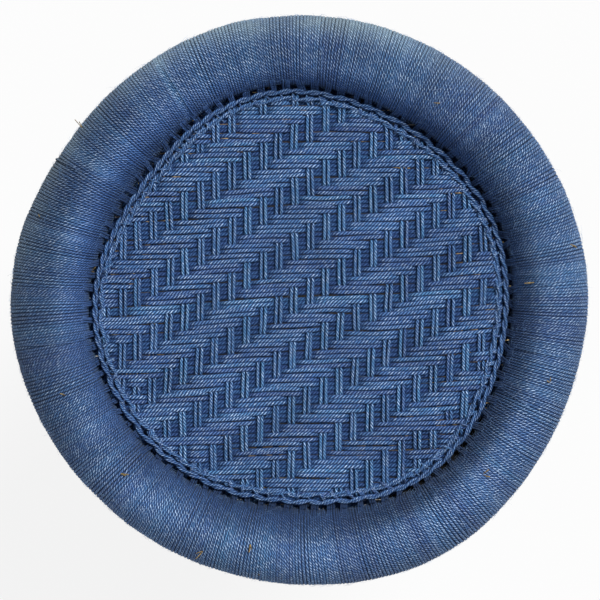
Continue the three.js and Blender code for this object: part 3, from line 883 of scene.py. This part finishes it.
class STOOL_OT_seat_weave(bpy.types.Operator):
    """Weaves the seat: pairs of twisted strings, over three and under three"""

    bl_idname = "stool.seat_weave"
    bl_label = "Woven seat"

    seed = 37
    float_count = 3
    first_over = 1
    step = 1.2 * MM
    lay = 9.8 * MM
    reach = 1.3 * SEAT_RADIUS
    rises = {"weft": 1.25 * MM, "warp": 1.3 * MM}
    # How far a pair sways, and within it each string: sideways, apart and up
    pair_sway = 0.55 * MM
    string_sway = 0.36 * MM
    spread_sway = 0.3 * MM
    height_sway = 0.2 * MM
    # A lengthwise string's distance from the middle of its pair, as a share of its radius, and how much
    # farther from the middle any string lies where it floats
    apart_share = 1.04
    float_spread_share = 0.06
    # Where between two crossings a string starts to change its level, and how much of the way it takes
    crossing_start_share, crossing_share = 0.22, 0.56
    # A string's section against its radius, how strings differ, and how much painted shade they take where
    # they pass below
    width_shares = {"weft": 1.18, "warp": 1.0}
    height_share = 0.9
    usual_thickness, uneven_thickness = 0.97, 0.04
    lay_shares = (0.93, 1.07)
    # Lengthwise strings get a higher tint and look lighter: a painted light, as they lie on top
    tints = {"weft": 0.5, "warp": 0.8}
    uneven_tint = 0.2
    under_shares = {"weft": 0.42, "warp": 0.5}
    # Near the margin crossings slip, and the strings dive and take a painted shade, measured inwards from
    # the margin
    loose_margin = 15 * MM
    slip_share = 0.3
    tuck = 4.5 * MM
    dive = 7.0 * MM
    dive_from = 6.5 * MM
    dark_from, dark_width = 6.6 * MM, 2.4 * MM
    least_points = 6

    def execute(self, context):
        s = sizes()
        rng = np.random.default_rng(self.seed)
        columns, rows = self.places(s.warp_pitch), self.places(s.weft_pitch)
        over = self.crossings(columns, rows, rng)
        self.weave("weft", rows, columns, -over, s.weft_string / 2, rng)
        self.weave("warp", columns, rows, over.T, s.warp_string / 2, rng)
        return {"FINISHED"}

    def places(self, pitch):
        """Places of the string pairs, an even number of them, a few beyond the widest part."""
        count = 2 * math.ceil(self.reach / pitch)
        return (np.arange(count) - (count - 1) / 2) * pitch

    def crossings(self, columns, rows, rng):
        """1 where a lengthwise pair lies on top and -1 where it lies below, with slips near the margin."""
        column = np.arange(len(columns)) - len(columns) // 2
        row = np.arange(len(rows)) - len(rows) // 2
        phase = (row[:, None] - column[None, :] + self.first_over) % (2 * self.float_count)
        over = np.where(phase < self.float_count, 1.0, -1.0)
        inside = SEAT_RADIUS - np.hypot(rows[:, None], columns[None, :])
        slipped = (inside < self.loose_margin) & (rng.random(over.shape) < self.slip_share)
        return np.where(slipped, -over, over)

    def levels(self, along, places, over):
        """1 where the string is over and -1 where it is under, eased between the crossings."""
        pitch = places[1] - places[0]
        slots = np.clip((along - places[0]) / pitch, 0, len(places) - 1.001)
        low = slots.astype(int)
        share = ease((slots - low - self.crossing_start_share) / self.crossing_share)
        return over[low] * (1 - share) + over[low + 1] * share

    def weave(self, kind, places, crossed, over, radius, rng):
        """All the pairs that run one way, in two pieces. crossed are the places of the pairs across them."""
        along = np.arange(-self.reach, self.reach, self.step)
        cords = [CordMesh(FOUR_PLY), CordMesh(FOUR_PLY)]
        for i, place in enumerate(places):
            level = self.levels(along, crossed, over[i])
            middle = place + smooth_noise(rng, len(along), reach=17) * self.pair_sway
            cord = cords[(i - len(places) // 2) % 2]
            for side in (-1, 1):
                self.string(cord, kind, along, middle, level, side, radius, rng)
        for part, cord in enumerate(cords):
            finish_piece(cord.make(f"{kind}_strings_{part + 1}"), seat_string_material(), "blue_cord",
                         f"seat_{kind}")

    def string(self, cord, kind, along, middle, level, side, radius, rng):
        """One string of a pair, drawn together where it dives under and spread where it floats."""
        count = len(along)
        crosswise = kind == "weft"
        even = sizes().weft_pitch / 4 if crosswise else radius * self.apart_share
        spread = even * (1 + self.float_spread_share * level)
        spread = spread + smooth_noise(rng, count, reach=16) * self.spread_sway
        beside = middle + side * spread + smooth_noise(rng, count, reach=21) * self.string_sway
        z = WEAVE_HEIGHT + level * self.rises[kind] + smooth_noise(rng, count, reach=19) * self.height_sway
        thick = radius * (self.usual_thickness + self.uneven_thickness * rng.standard_normal())
        lay = self.lay * rng.uniform(*self.lay_shares)
        phase = rng.uniform(0, TAU)
        tint = float(np.clip(rng.normal(self.tints[kind], self.uneven_tint), 0, 1.1))
        path = weave_drift(np.stack((along, beside, z) if crosswise else (beside, along, z), -1))
        right, up = (path - SEAT_MIDDLE)[:, :2].T
        inside = seat_edge(np.arctan2(up, right)) - np.hypot(right, up)
        keep = inside > -self.tuck
        if keep.sum() < self.least_points:
            return
        path, inside, level = path[keep], inside[keep], level[keep]
        path[:, 2] -= self.dive * ease((self.dive_from - inside) / self.dive)
        # Painted shade where the string passes below, and where it dives near the margin
        under = 0.5 * (1 - level) * self.under_shares[kind]
        dark = ease((self.dark_from - inside) / self.dark_width)
        cord.sweep(path, np.tile(UP, (len(path), 1)), thick * self.width_shares[kind],
                   thick * self.height_share, lay, phase, tint=tint, sunk=under + dark)


class STOOL_OT_seat_edge(bpy.types.Operator):
    """Runs the two pairs of edge cords round the seat's margin and ties them to the rim"""

    bl_idname = "stool.seat_edge"
    bl_label = "Seat edge cords"

    seed = 53
    # Each pair of edge cords: inset from the margin, twists round the seat, and height over the weave
    pairs = ((2.6 * MM, 46, 3.0 * MM), (7.4 * MM, 37, 1.8 * MM))
    edge_steps = 1400
    edge_sway = 0.6 * MM
    edge_lay = 8.4 * MM
    apart_share = 0.95
    uneven_twist = 1.2
    # The edge cords take a little painted shade
    edge_tints, edge_sunk = (0.35, 0.7), 0.1
    ties = 94
    tie_unevenness = 0.16
    tie_steps = 24
    tie_lay = 9 * MM
    tie_share = 0.34
    # Each kind of stitch: how far it leans and how much that differs, as angles round the seat
    loop_lean, bundle_lean = (0.016, 0.012), (0.0, 0.008)
    # How much the places and the offsets below differ, in millimetres
    place_unevenness = (0.25, 0.2)
    offset_unevenness = 0.15
    # Each stitch as places in millimetres (inset from the margin, height over the weave): the loops over the
    # inner pair, and the bundles that come down from the rim
    loop_places = ((10.4, -1.5), (9.2, 1.6), (7.4, 3.5), (5.4, 2.7), (4.0, 1.2), (2.6, 0.2), (1.4, -1.5))
    bundle_places = ((-6.2, 14), (-3.7, 9), (-2.3, 5), (-0.8, 2.4), (0.9, 1), (2.6, 0.4), (4.6, -0.6))
    loop_offsets = (-0.3, 0.9)
    bundle_offsets = (-1.9, -0.6, 0.7, 2.0)
    # A stitch starts this far below the rim's upper face or farther, and may rise this much at each place
    wall_depth, wall_gain = 2.6 * MM, 2.4 * MM

    def execute(self, context):
        rng = np.random.default_rng(self.seed)
        cords = CordMesh(FOUR_PLY)
        for inset, twists, rise in self.pairs:
            sway = smooth_noise(rng, self.edge_steps, reach=60) * self.edge_sway
            for half_turn in (0, math.pi):
                self.edge_cord(cords, inset, twists, rise, half_turn, sway, rng)
        finish_piece(cords.make("edge_cords"), seat_string_material(), "blue_cord", "seat_edge_cords")
        loops, bundles = CordMesh(FOUR_PLY), CordMesh(PLAIN)
        for i in range(self.ties):
            turn = TAU * (i + rng.uniform(-self.tie_unevenness, self.tie_unevenness)) / self.ties
            lean = rng.normal(*self.loop_lean)
            for offset in self.loop_offsets[rng.integers(0, 2):]:
                self.stitch(loops, rng, turn, offset, self.loop_places, lean)
            turn += TAU * 0.5 / self.ties
            lean = rng.normal(*self.bundle_lean)
            for offset in self.bundle_offsets[rng.integers(0, 2):]:
                offset = offset + rng.normal(0, self.offset_unevenness)
                self.stitch(bundles, rng, turn, offset, self.bundle_places, lean)
        finish_piece(loops.make("edge_ties"), seat_string_material(), "blue_cord")
        finish_piece(bundles.make("edge_bundles"), rim_cord_material(), "blue_cord")
        return {"FINISHED"}

    def edge_cord(self, cords, inset, twists, rise, half_turn, sway, rng):
        """One cord of a loosely twisted pair that follows the margin."""
        count = self.edge_steps
        half = sizes().edge_cord / 2
        apart = half * self.apart_share
        turn = np.linspace(0, TAU, count, endpoint=False)
        wave = twists * turn + half_turn + smooth_noise(rng, count, reach=90) * self.uneven_twist
        radius = seat_edge(turn) - inset + sway + apart * np.cos(wave)
        path = ring_points(radius, turn, WEAVE_HEIGHT + rise + apart * np.sin(wave)) + SEAT_MIDDLE
        cords.sweep(path, np.tile(UP, (count, 1)), half, half, self.edge_lay, rng.uniform(0, TAU),
                    tint=rng.uniform(*self.edge_tints), closed=True, sunk=self.edge_sunk)

    def stitch(self, stitches, rng, turn, offset, places, lean):
        """One string of a stitch across the margin. offset moves it along the margin, in millimetres."""
        share = np.linspace(0, len(places) - 1, self.tie_steps)
        kernel = np.array([1, 2, 3, 2, 1]) / 9
        inset, height = (
            np.interp(share, np.arange(len(places)), values + rng.normal(0, uneven, len(places))) * MM
            for values, uneven in zip(np.transpose(places), self.place_unevenness))
        for values in (inset, height):
            values[2:-2] = np.convolve(values, kernel, "valid")
        around = turn + offset * MM / SEAT_RADIUS + lean * np.linspace(-1, 1, self.tie_steps)
        path = ring_points(seat_edge(around) - inset, around, WEAVE_HEIGHT + height) + SEAT_MIDDLE
        wall, within = rim_wall(path)
        highest = np.minimum(path[:, 2], wall + self.wall_gain * share - self.wall_depth)
        path[:, 2] = np.where(within, highest, path[:, 2])
        out = np.tile([-0.5 * math.cos(turn), -0.5 * math.sin(turn), 1.0], (self.tie_steps, 1))
        half = sizes().edge_cord * self.tie_share
        stitches.sweep(path, out, half, half, self.tie_lay, rng.uniform(0, TAU), tint=rng.uniform(0.1, 0.8))


def reed_axis(node):
    """The two ends of a CAD reed's middle line, found from its corners."""
    points = node_points(node)
    middle = (points.max(0) + points.min(0)) / 2
    _, _, ways = np.linalg.svd(points - points.mean(0), full_matrices=False)
    way = ways[0] * np.sign(ways[0][2])
    reach = (points - middle) @ way
    low = points[reach < reach.min() + 1 * MM].mean(0)
    high = points[reach > reach.max() - 1 * MM].mean(0)
    return Vector(low), Vector(high)


class STOOL_OT_reeds(bpy.types.Operator):
    """Models one cane reed of each layer and sets a copy on each CAD reed"""

    bl_idname = "stool.reeds"
    bl_label = "Cane reeds"

    seed = 71
    cuts = 150
    sides = 16
    # Where each layer's reeds have their nodes, as shares of the length, and how the reed changes there
    node_shares = {"outer": (0.31, 0.86), "inner": (0.64, 0.12)}
    swell_reach, swell_share = 2.6 * MM, 0.07
    pinch_reach, pinch_share, pinch_offset = 2.2 * MM, 0.05, 2.4
    # Its width at the foot, how much it tapers to the tip, and the ripples that keep it from being round
    width_share, taper_share = 0.93, 0.05
    ripples, ripple_lean, ripple_share = 3, 9, 0.012
    sharp_edge = math.radians(50)

    def execute(self, context):
        rng = np.random.default_rng(self.seed)
        for layer, shares in self.node_shares.items():
            low, high = reed_axis(f"{layer}_reed_01")
            master = self.master((high - low).length, shares)
            for node in sorted(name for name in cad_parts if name.startswith(f"{layer}_reed")):
                self.place(master, node, rng)
            bpy.data.objects.remove(master, do_unlink=True)
        return {"FINISHED"}

    def master(self, length, node_shares):
        """A cylinder cut into rings, which then swell and pinch at the nodes, taper and ripple."""
        reed = new_primitive("cylinder", vertices=self.sides, radius=sizes().reed / 2, depth=length,
                             location=(0, 0, length / 2))
        bpy.ops.object.mode_set(mode="EDIT")
        bpy.ops.mesh.select_mode(type="EDGE")
        bpy.ops.mesh.select_all(action="DESELECT")
        bpy.ops.object.mode_set(mode="OBJECT")
        for edge in reed.data.edges:
            a, b = (reed.data.vertices[v].co for v in edge.vertices)
            edge.select = abs(a.z - b.z) > length / 2
        bpy.ops.object.mode_set(mode="EDIT")
        bpy.ops.mesh.subdivide(number_cuts=self.cuts)
        bpy.ops.mesh.select_all(action="DESELECT")
        bpy.ops.object.mode_set(mode="OBJECT")
        bpy.ops.object.transform_apply(location=True)
        rings = []
        for vertex in reed.data.vertices:
            co = vertex.co
            share = co.z / length
            past = [(share - node) * length for node in node_shares]
            swell = sum(math.exp(-(far / self.swell_reach) ** 2) for far in past)
            pinch = sum(math.exp(-(far / self.pinch_reach - self.pinch_offset) ** 2) for far in past)
            rings.append(swell)
            width = self.width_share - self.taper_share * share + self.swell_share * swell
            width -= self.pinch_share * pinch
            around = self.ripples * math.atan2(co.y, co.x) + self.ripple_lean * share
            width += self.ripple_share * math.sin(around)
            co.x *= width
            co.y *= width
        reed.data.attributes.new("ring", "FLOAT", "POINT").data.foreach_set("value", rings)
        bpy.ops.object.shade_smooth_by_angle(angle=self.sharp_edge)
        return reed

    def place(self, master, node, rng):
        low, high = reed_axis(node)
        turn = (high - low).normalized().to_track_quat("Z", "Y").to_matrix().to_4x4()
        spin = Matrix.Rotation(rng.uniform(0, TAU), 4, "Z")
        mesh = master.data.copy()
        mesh.transform(Matrix.Translation(low) @ turn @ spin)
        tint = mesh.attributes.new("tint", "FLOAT", "POINT")
        tint.data.foreach_set("value", np.full(len(mesh.vertices), rng.uniform(0.15, 0.95)))
        material = material_once("Cane", cane_material, tuple(colours().cane))
        finish_piece(new_object(node.replace("reed", "cane"), mesh), material, "reed", node)


class STOOL_OT_hoops_and_cores(bpy.types.Operator):
    """Finishes the hoops and the straw cores that the windings hide"""

    bl_idname = "stool.hoops_and_cores"
    bl_label = "Hoops and cores"

    inside_depth = 0.9
    padding_half = 10 * MM
    padding_segments = (180, 32)
    padding_inset_share = 1.1

    def execute(self, context):
        straw = material_once("Bundled straw", straw_material, tuple(colours().straw),
                              inside_depth=self.inside_depth)
        split_cane = material_once("Split cane", straw_material, shade_of(colours().cane, 0.8),
                                   inside_depth=self.inside_depth)
        self.padding(straw)
        finishes = {"base_core": straw, "top_inner_hoop": split_cane, "top_outer_hoop": split_cane,
                    "base_inner_hoop": split_cane, "base_outer_hoop": split_cane}
        for node, material in finishes.items():
            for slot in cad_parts[node].material_slots:
                slot.material = material
        return {"FINISHED"}

    def padding(self, straw):
        """A ring shaped to the rim, just inside its winding."""
        major, minor = self.padding_segments
        ring = new_primitive("torus", major_segments=major, minor_segments=minor, major_radius=RIM_RADIUS,
                             minor_radius=self.padding_half)
        ring.name = "straw_padding"
        for vertex in ring.data.vertices:
            co = vertex.co
            turn = np.array([math.atan2(co.y, co.x)])
            around = np.array([math.atan2(co.z, math.hypot(co.x, co.y) - RIM_RADIUS)])
            vertex.co = rim_point(turn, around, -sizes().rim_cord * self.padding_inset_share)[0]
        finish_piece(ring, straw, "straw", "rim_padding")


def lattice_radius(height):
    """Radius of the outer reeds' middle lines at a height, from one of them."""
    low, high = reed_axis("outer_reed_01")
    share = (height - low.z) / (high.z - low.z)
    x = low.x + share * (high.x - low.x)
    y = low.y + share * (high.y - low.y)
    return np.hypot(x, y)


class STOOL_OT_lashings(bpy.types.Operator):
    """Winds the twisted rope lashings round the crossed reeds"""

    bl_idname = "stool.lashings"
    bl_label = "Rope lashings"

    seed = 89
    turns = {"lower_lashing": 2, "waist_lashing": 3, "upper_lashing": 2}
    steps = 420
    lay = 15 * MM
    clearance = 0.5 * MM
    # The rope lies clear of the reeds' nodes, and ripples once for each outer reed
    reed_share = 1.12
    ripples = 19
    ripple = 0.35 * MM
    sway = 0.3 * MM
    tint = 0.55

    def execute(self, context):
        rng = np.random.default_rng(self.seed)
        half = sizes().rope / 2
        for node, turns in self.turns.items():
            low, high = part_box(node)
            count = turns * self.steps
            turn = np.linspace(0, TAU * turns, count)
            z = np.linspace(low.z + half, high.z - half, count)
            sway = self.ripple * np.cos(turn * self.ripples) + smooth_noise(rng, count, reach=60) * self.sway
            radius = lattice_radius(z) + sizes().reed / 2 * self.reed_share + half + self.clearance + sway
            rope = CordMesh(THREE_PLY)
            rope.sweep(ring_points(radius, turn, z), ring_points(1.0, turn, np.zeros(count)), half, half,
                       self.lay, tint=self.tint)
            finish_piece(rope.make(f"{node}_rope"), rope_material("Grass rope", 0.25, 3.0), "rope", node)
        return {"FINISHED"}


class STOOL_OT_base_winding(bpy.types.Operator):
    """Winds the rope round the base ring, turn by turn"""

    bl_idname = "stool.base_winding"
    bl_label = "Base winding"

    seed = 97
    pieces = 2
    steps = 84
    lay = 9 * MM
    # Half the rope's thickness, the limits of its half width, and that width as a share of the pitch
    half_rope = 2.1 * MM
    half_widths = (1.4 * MM, 2.6 * MM)
    width_share = 0.54
    hoop_gap = 5 * MM
    level = 0.3 * MM
    lump = 0.5 * MM

    def execute(self, context):
        rng = np.random.default_rng(self.seed)
        turns = sizes().base_turns
        low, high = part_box("base_winding")
        inner_hoop, outer_hoop = (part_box(f"base_{side}_hoop")[1].x for side in ("inner", "outer"))
        middle = (inner_hoop + outer_hoop - self.hoop_gap) / 2
        half, half_height, centre = high.x - middle, (high.z - low.z) / 2, (high.z + low.z) / 2
        whole = np.arange(turns + 1)
        level = rng.uniform(-self.level, self.level, turns + 1)
        level = level + smooth_noise(rng, turns + 1, reach=6) * self.lump
        tints = uneven_tints(rng, turns + 1, reach=5, spread=0.12)
        for part in range(self.pieces):
            progress, around = winding_course(part, self.pieces, turns, self.steps, math.pi / 2)
            turn = progress * TAU / turns
            lift = np.interp(progress, whole, level) - self.half_rope
            reach = middle + (half + lift) * np.cos(around)
            path = ring_points(reach, turn, centre + (half_height + lift) * np.sin(around))
            across = np.clip(reach * TAU / turns * self.width_share, *self.half_widths)
            rope = CordMesh(TWO_PLY)
            rope.sweep(path, rim_out(turn, around), across, self.half_rope, self.lay,
                       tint=np.interp(progress, whole, tints))
            finish_piece(rope.make(f"base_rope_{part + 1}"), rope_material("Base rope", 0.75, 2.0), "rope",
                         "base_winding")
        return {"FINISHED"}


class STOOL_OT_base_tread(bpy.types.Operator):
    """Spins the section of the rubber tread round the stool's axis"""

    bl_idname = "stool.base_tread"
    bl_label = "Rubber tread"

    steps = 180
    # Corners this near the section's plane belong to it, and they are ordered about a point this far above
    near = 0.05 * MM
    above = 10 * MM
    merge = 0.01 * MM
    sharp_edge = math.radians(30)

    def execute(self, context):
        tread = new_object("tread_rubber", self.section_mesh())
        bpy.ops.object.select_all(action="DESELECT")
        tread.select_set(True)
        context.view_layer.objects.active = tread
        bpy.ops.object.mode_set(mode="EDIT")
        bpy.ops.mesh.select_all(action="SELECT")
        bpy.ops.mesh.spin(steps=self.steps, angle=TAU, center=(0, 0, 0), axis=(0, 0, 1))
        bpy.ops.mesh.select_all(action="SELECT")
        bpy.ops.mesh.remove_doubles(threshold=self.merge)
        bpy.ops.mesh.normals_make_consistent(inside=False)
        bpy.ops.mesh.select_all(action="DESELECT")
        bpy.ops.object.mode_set(mode="OBJECT")
        bpy.ops.object.shade_smooth_by_angle(angle=self.sharp_edge)
        material = material_once("Rubber", rubber_material, tuple(colours().rubber))
        finish_piece(tread, material, "rubber", "base_tread")
        return {"FINISHED"}

    def section_mesh(self):
        """The trough's section as a closed ring of edges, from the CAD node's corners beside the axis."""
        points = node_points("base_tread")
        on_axis = points[(np.abs(points[:, 1]) < self.near) & (points[:, 0] > 0)]
        section = np.unique(np.round(on_axis[:, [0, 2]], 5), axis=0)
        middle = section.mean(0)
        middle[1] = section[:, 1].max() + self.above
        section = section[np.argsort(np.arctan2(section[:, 1] - middle[1], section[:, 0] - middle[0]))]
        reach = np.hypot(section[:, 0] - middle[0], section[:, 1] - middle[1])
        outer = section[reach > np.median(reach)]
        inner = section[reach <= np.median(reach)]
        ring = [*outer, *inner[::-1]]
        mesh = bpy.data.meshes.new("tread")
        mesh.from_pydata([(x, 0, z) for x, z in ring],
                         [(i, (i + 1) % len(ring)) for i in range(len(ring))], [])
        return mesh


class STOOL_OT_stage(bpy.types.Operator):
    """Sets the pale floor, the lights and the camera"""

    bl_idname = "stool.stage"
    bl_label = "Floor, lights and camera"

    floor_size = 14.0
    # Round the stool the floor turns from its shaded colour to its open one, and then begins to glow
    shaded_floor = (0.05, 0.042, 0.034)
    open_floor = (0.86, 0.86, 0.86)
    shaded_zone = (0.12, 0.19)
    glow_zone = (0.17, 0.23)
    glow_share = 0.86
    white = (1.0, 1.0, 1.0)
    sky = (0.95, 0.97, 1.0)
    sky_strength = 0.3
    sun_strength = 2.9
    sun_size = math.radians(24)
    sun_azimuth = math.radians(50)
    sun_elevation = math.radians(50)
    camera_distance = 1.75
    camera_tilt = (0.035, 0.03, 1.0)
    camera_sensor = 36.0
    camera_reach = 30.0
    aim = (1.5 * MM, 0.0)

    def execute(self, context):
        self.floor()
        self.world(context)
        self.sun(context)
        self.camera(context)
        return {"FINISHED"}

    def floor(self):
        floor = new_primitive("plane", size=self.floor_size, location=(0, 0, 0))
        floor.name = "floor"
        n = Finish("Pale floor")
        path = n.add("ShaderNodeLightPath").outputs
        seen = n.math("MAXIMUM", path["Is Camera Ray"], path["Is Glossy Ray"])
        seen = n.math("MAXIMUM", seen, path["Is Transmission Ray"])
        distance = n.vector("LENGTH", n.place)["Value"]
        colour = n.mix(n.ramp(distance, *self.shaded_zone), self.shaded_floor, self.open_floor)
        n.put(n.shader.inputs["Base Color"], colour)
        n.put(n.shader.inputs["Roughness"], 0.9)
        glow = n.add("ShaderNodeEmission", {"Color": self.white, "Strength": 1.0})
        share = n.times(seen, n.ramp(distance, *self.glow_zone), self.glow_share)
        mixed = n.add("ShaderNodeMixShader", {0: share, 1: n.shader.outputs[0], 2: glow.outputs[0]})
        n.put(n.out.inputs["Surface"], mixed.outputs[0])
        floor.data.materials.append(n.material)

    def world(self, context):
        """White where the camera looks past the stool, and a soft sky for the light."""
        world = bpy.data.worlds.new("Studio")
        world.use_nodes = True
        world.node_tree.nodes.clear()
        n = Nodes(world.node_tree)
        seen = n.add("ShaderNodeLightPath").outputs["Is Camera Ray"]
        soft = n.add("ShaderNodeBackground", {"Color": self.sky, "Strength": self.sky_strength})
        white = n.add("ShaderNodeBackground", {"Color": self.white, "Strength": 1.0})
        mixed = n.add("ShaderNodeMixShader", {0: seen, 1: soft.outputs[0], 2: white.outputs[0]})
        n.add("ShaderNodeOutputWorld", {"Surface": mixed.outputs[0]})
        context.scene.world = world

    def sun(self, context):
        key = bpy.data.lights.new("key", "SUN")
        key.energy = self.sun_strength
        key.angle = self.sun_size
        flat = math.cos(self.sun_elevation)
        toward = Vector((flat * math.cos(self.sun_azimuth), flat * math.sin(self.sun_azimuth),
                         math.sin(self.sun_elevation)))
        new_object("key", key).rotation_euler = toward.to_track_quat("Z", "Y").to_euler()

    def camera(self, context):
        lens = bpy.data.cameras.new("camera")
        lens.sensor_width = self.camera_sensor
        lens.lens = self.camera_sensor * self.camera_distance / (PHOTO_PIXELS * PIXEL)
        lens.clip_end = self.camera_reach
        target = Vector((*self.aim, RIM_HIGH.z - sizes().rim_half_height))
        away = Vector(self.camera_tilt).normalized() * self.camera_distance
        back = away.normalized()
        right = Vector((0, 1, 0)).cross(back).normalized()
        turn = Matrix((right, back.cross(right), back)).transposed()
        camera = new_object("camera", lens)
        camera.location = target + away
        camera.rotation_euler = turn.to_euler()
        context.scene.camera = camera
        context.scene.view_settings.view_transform = "Standard"


PIECE_OPERATORS = (
    STOOL_OT_stage,
    STOOL_OT_rim_winding,
    STOOL_OT_rim_strays,
    STOOL_OT_seat_weave,
    STOOL_OT_seat_edge,
    STOOL_OT_reeds,
    STOOL_OT_hoops_and_cores,
    STOOL_OT_lashings,
    STOOL_OT_base_winding,
    STOOL_OT_base_tread,
)


class STOOL_PT_panel(bpy.types.Panel):
    """Lists the sizes, the colours and the pieces of the stool"""

    bl_idname = "STOOL_PT_panel"
    bl_label = "Mudda stool"
    bl_space_type = "VIEW_3D"
    bl_region_type = "UI"
    bl_category = "Stool"

    def draw(self, context):
        for group in (context.scene.stool_sizes, context.scene.stool_colours):
            for name in group.bl_rna.properties.keys():
                if name not in ("rna_type", "name"):
                    self.layout.prop(group, name)
        for operator in PIECE_OPERATORS:
            self.layout.operator(operator.bl_idname)


CLASSES = (StoolSizes, StoolColours, *PIECE_OPERATORS, STOOL_PT_panel)


def register():
    for cls in CLASSES:
        bpy.utils.register_class(cls)
    bpy.types.Scene.stool_sizes = PointerProperty(type=StoolSizes)
    bpy.types.Scene.stool_colours = PointerProperty(type=StoolColours)


def unregister():
    del bpy.types.Scene.stool_colours
    del bpy.types.Scene.stool_sizes
    for cls in reversed(CLASSES):
        bpy.utils.unregister_class(cls)


def main():
    register()
    for operator in PIECE_OPERATORS:
        group, name = operator.bl_idname.split(".")
        getattr(getattr(bpy.ops, group), name)()


if __name__ == "__main__":
    main()
